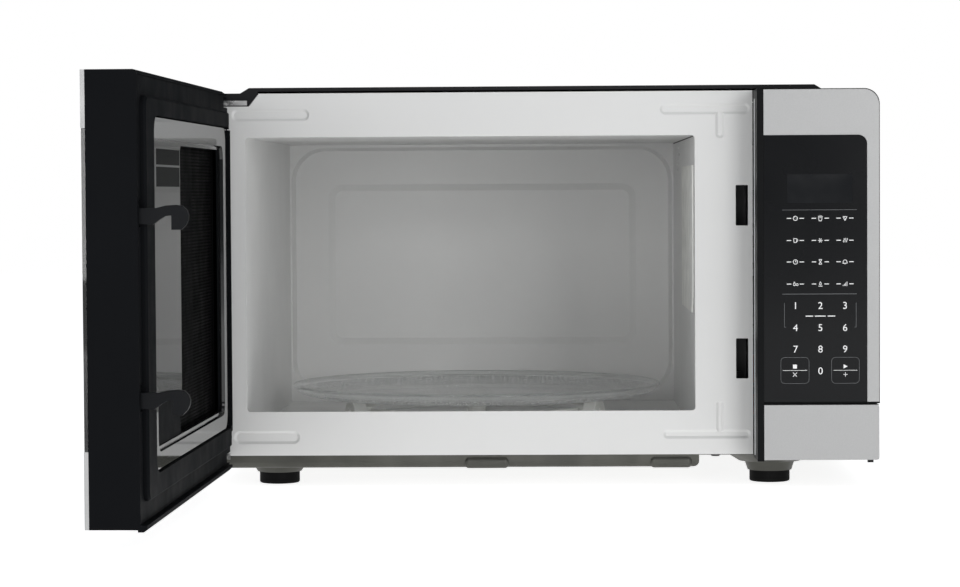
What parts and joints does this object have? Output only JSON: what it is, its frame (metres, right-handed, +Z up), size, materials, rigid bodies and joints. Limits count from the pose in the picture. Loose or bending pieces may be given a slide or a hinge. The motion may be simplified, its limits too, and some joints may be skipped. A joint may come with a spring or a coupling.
{
  "type": "microwave oven",
  "caption": "Countertop microwave oven with a side-hinged glass door standing open, hook latches, membrane keypad panel, push button, glass turntable on a roller ring, and short feet.",
  "frame": {"origin": "on the table under the middle of the object's box with the door in its rest pose, open about 91 degrees", "axes": "+Z up, +Y into the oven from the door side to the rear panel, +X to the control panel's side"},
  "size_m": [0.5512, 0.8381, 0.3142],
  "materials": {
    "black_painted_steel": "satin",
    "galvanised_steel": "satin",
    "bright_steel": "satin",
    "light_enamel": "satin",
    "black_plastic": "fine matte",
    "silver_plastic": "satin",
    "black_glass": "gloss",
    "tray_glass": "gloss",
    "bulb_glass": "gloss",
    "white_plastic": "satin",
    "mica": "satin",
    "circuit_board": "satin",
    "component_black": "matte",
    "laminated_steel": "matte",
    "copper_winding": "varnished",
    "capacitor_can": "satin",
    "rubber_foot": "matte",
    "dark_screen": "satin",
    "clear_glass": "gloss"
  },
  "bodies": {
    "cabinet": {"air_duct": "white_plastic", "base_plate": "galvanised_steel", "board_components": "component_black", "capacitor": "capacitor_can", "case_screws": "bright_steel", "cavity_box": "light_enamel", "control_board": "circuit_board", "control_panel_frame": "black_plastic", "cord_gland": "black_plastic", "display_module": "component_black", "fan_housing": "white_plastic", "fan_motor": "laminated_steel", "foot_front_left": "rubber_foot", "foot_front_right": "rubber_foot", "foot_rear_left": "rubber_foot", "foot_rear_right": "rubber_foot", "front_plate": "light_enamel", "high_voltage_diode": "component_black", "keypad_panel": "black_glass", "lamp_bulb": "bulb_glass", "lamp_holder": "white_plastic", "latch_board": "white_plastic", "lower_hinge_bracket": "bright_steel", "magnetron": "bright_steel", "monitor_switch": "component_black", "noise_filter_board": "circuit_board", "outer_cover": "black_painted_steel", "panel_trim": "silver_plastic", "primary_switch": "component_black", "rear_panel": "galvanised_steel", "rear_spacers": "black_plastic", "secondary_switch": "component_black", "thermal_cutout": "component_black", "transformer_core": "laminated_steel", "transformer_windings": "copper_winding", "turntable_motor": "bright_steel", "upper_hinge_bracket": "bright_steel", "waveguide": "galvanised_steel", "waveguide_cover": "mica"},
    "door": {"door_frame": "black_plastic", "hinge_bushes": "white_plastic", "door_glass": "clear_glass", "door_trim_top": "silver_plastic", "door_trim_bottom": "silver_plastic", "door_panel": "dark_screen", "door_mesh": "dark_screen", "window_band": "black_glass", "choke_cover": "black_plastic"},
    "door_latch": {"latch_hooks": "black_plastic", "latch_spring": "bright_steel"},
    "release_button": {"release_button": "silver_plastic", "button_spring": "bright_steel"},
    "release_lever": {"release_lever": "white_plastic"},
    "fan": {"fan_blade": "white_plastic"},
    "drive_coupler": {"drive_coupler": "white_plastic"},
    "turntable": {"glass_tray": "tray_glass"},
    "roller_ring": {"roller_ring": "white_plastic"},
    "roller_wheel_1": {"roller_wheel_1": "white_plastic"},
    "roller_wheel_2": {"roller_wheel_2": "white_plastic"},
    "roller_wheel_3": {"roller_wheel_3": "white_plastic"}
  },
  "joints": [
    {"name": "door_hinge", "type": "hinge", "parent": "cabinet", "child": "door", "pos_m": [-0.23655, -0.0032, 0.1655], "axis": [0, 0, -1], "range_deg": [-91.25, 10]},
    {"name": "latch_slide", "type": "slide", "parent": "door", "child": "door_latch", "axis": [0, 0, 1], "range_m": [0, 0.004], "stiffness_N_per_m": 300, "springref_m": -0.003, "deforming": ["latch_spring"]},
    {"name": "button_press", "type": "slide", "parent": "cabinet", "child": "release_button", "axis": [0, 1, 0], "range_m": [0, 0.005], "stiffness_N_per_m": 600, "springref_m": -0.003, "deforming": ["button_spring"]},
    {"name": "lever_turn", "type": "hinge", "parent": "cabinet", "child": "release_lever", "pos_m": [0.17945, 0.02, 0.074], "axis": [1, 0, 0], "range_deg": [0, 10.5]},
    {"name": "fan_spin", "type": "hinge", "parent": "cabinet", "child": "fan", "pos_m": [0.20945, 0.352, 0.215], "axis": [0, 1, 0], "continuous": true},
    {"name": "coupler_spin", "type": "hinge", "parent": "cabinet", "child": "drive_coupler", "pos_m": [-0.04165, 0.212, 0.045], "axis": [0, 0, 1], "continuous": true},
    {"name": "tray_lift", "type": "slide", "parent": "drive_coupler", "child": "turntable", "axis": [0, 0, 1], "range_m": [0, 0.05]},
    {"name": "ring_roll", "type": "hinge", "parent": "cabinet", "child": "roller_ring", "pos_m": [-0.04165, 0.212, 0.048], "axis": [0, 0, 1], "continuous": true},
    {"name": "wheel_1_spin", "type": "hinge", "parent": "roller_ring", "child": "roller_wheel_1", "pos_m": [-0.04165, 0.327, 0.0477], "axis": [0, 1, 0], "continuous": true},
    {"name": "wheel_2_spin", "type": "hinge", "parent": "roller_ring", "child": "roller_wheel_2", "pos_m": [-0.14124, 0.1545, 0.0477], "axis": [-0.866, -0.5, 0], "continuous": true},
    {"name": "wheel_3_spin", "type": "hinge", "parent": "roller_ring", "child": "roller_wheel_3", "pos_m": [0.05794, 0.1545, 0.0477], "axis": [0.866, -0.5, 0], "continuous": true}
  ],
  "couplings": [
    {"joint": "lever_turn", "follows": "button_press", "rad_per_m": 36.642},
    {"joint": "ring_roll", "follows": "coupler_spin", "ratio": 0.5},
    {"joint": "wheel_1_spin", "follows": "coupler_spin", "ratio": -5.9896},
    {"joint": "wheel_2_spin", "follows": "coupler_spin", "ratio": -5.9896},
    {"joint": "wheel_3_spin", "follows": "coupler_spin", "ratio": -5.9896}
  ]
}
